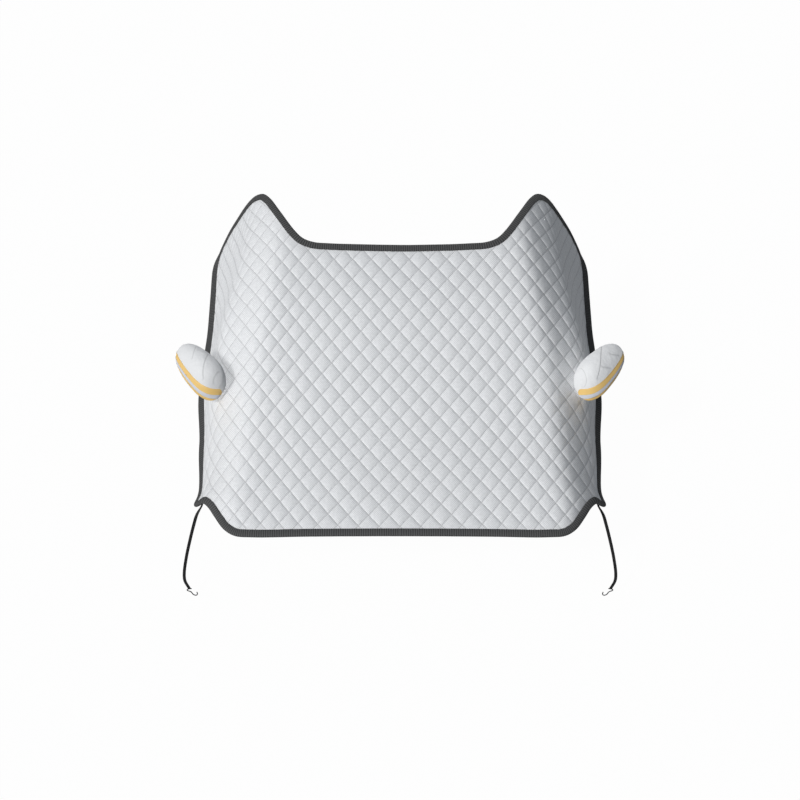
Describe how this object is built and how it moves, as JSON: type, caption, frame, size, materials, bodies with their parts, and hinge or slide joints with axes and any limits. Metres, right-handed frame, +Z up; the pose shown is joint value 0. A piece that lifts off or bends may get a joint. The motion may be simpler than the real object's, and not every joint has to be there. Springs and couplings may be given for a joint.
{
  "type": "windshield frost cover",
  "caption": "Quilted silver windscreen blanket with a bound hem, side flaps, side-mirror pouches with reflective tape and hooked elastic straps, in its fitted shape.",
  "frame": {"origin": "on the underside of the quilted panel, at the middle of the windscreen", "axes": "+X across the cover to its right, +Y rearward, +Z up; X is the mirror axis"},
  "size_m": [2.1252, 1.7138, 1.1582],
  "materials": {
    "quilted_cloth": "satin",
    "binding_tape": "matte",
    "pouch_cloth": "satin",
    "yellow_tape": "satin",
    "silver_tape": "satin",
    "webbing": "matte",
    "hook_plastic": "satin"
  },
  "bodies": {
    "root": {"quilted_panel": "quilted_cloth", "edge_binding": "binding_tape", "mirror_cover_left": "pouch_cloth", "reflective_tape_left": "yellow_tape", "silver_strip_left": "silver_tape", "strap_left": "webbing", "hook_left": "hook_plastic", "mirror_cover_right": "pouch_cloth", "reflective_tape_right": "yellow_tape", "silver_strip_right": "silver_tape", "strap_right": "webbing", "hook_right": "hook_plastic"}
  },
  "joints": []
}
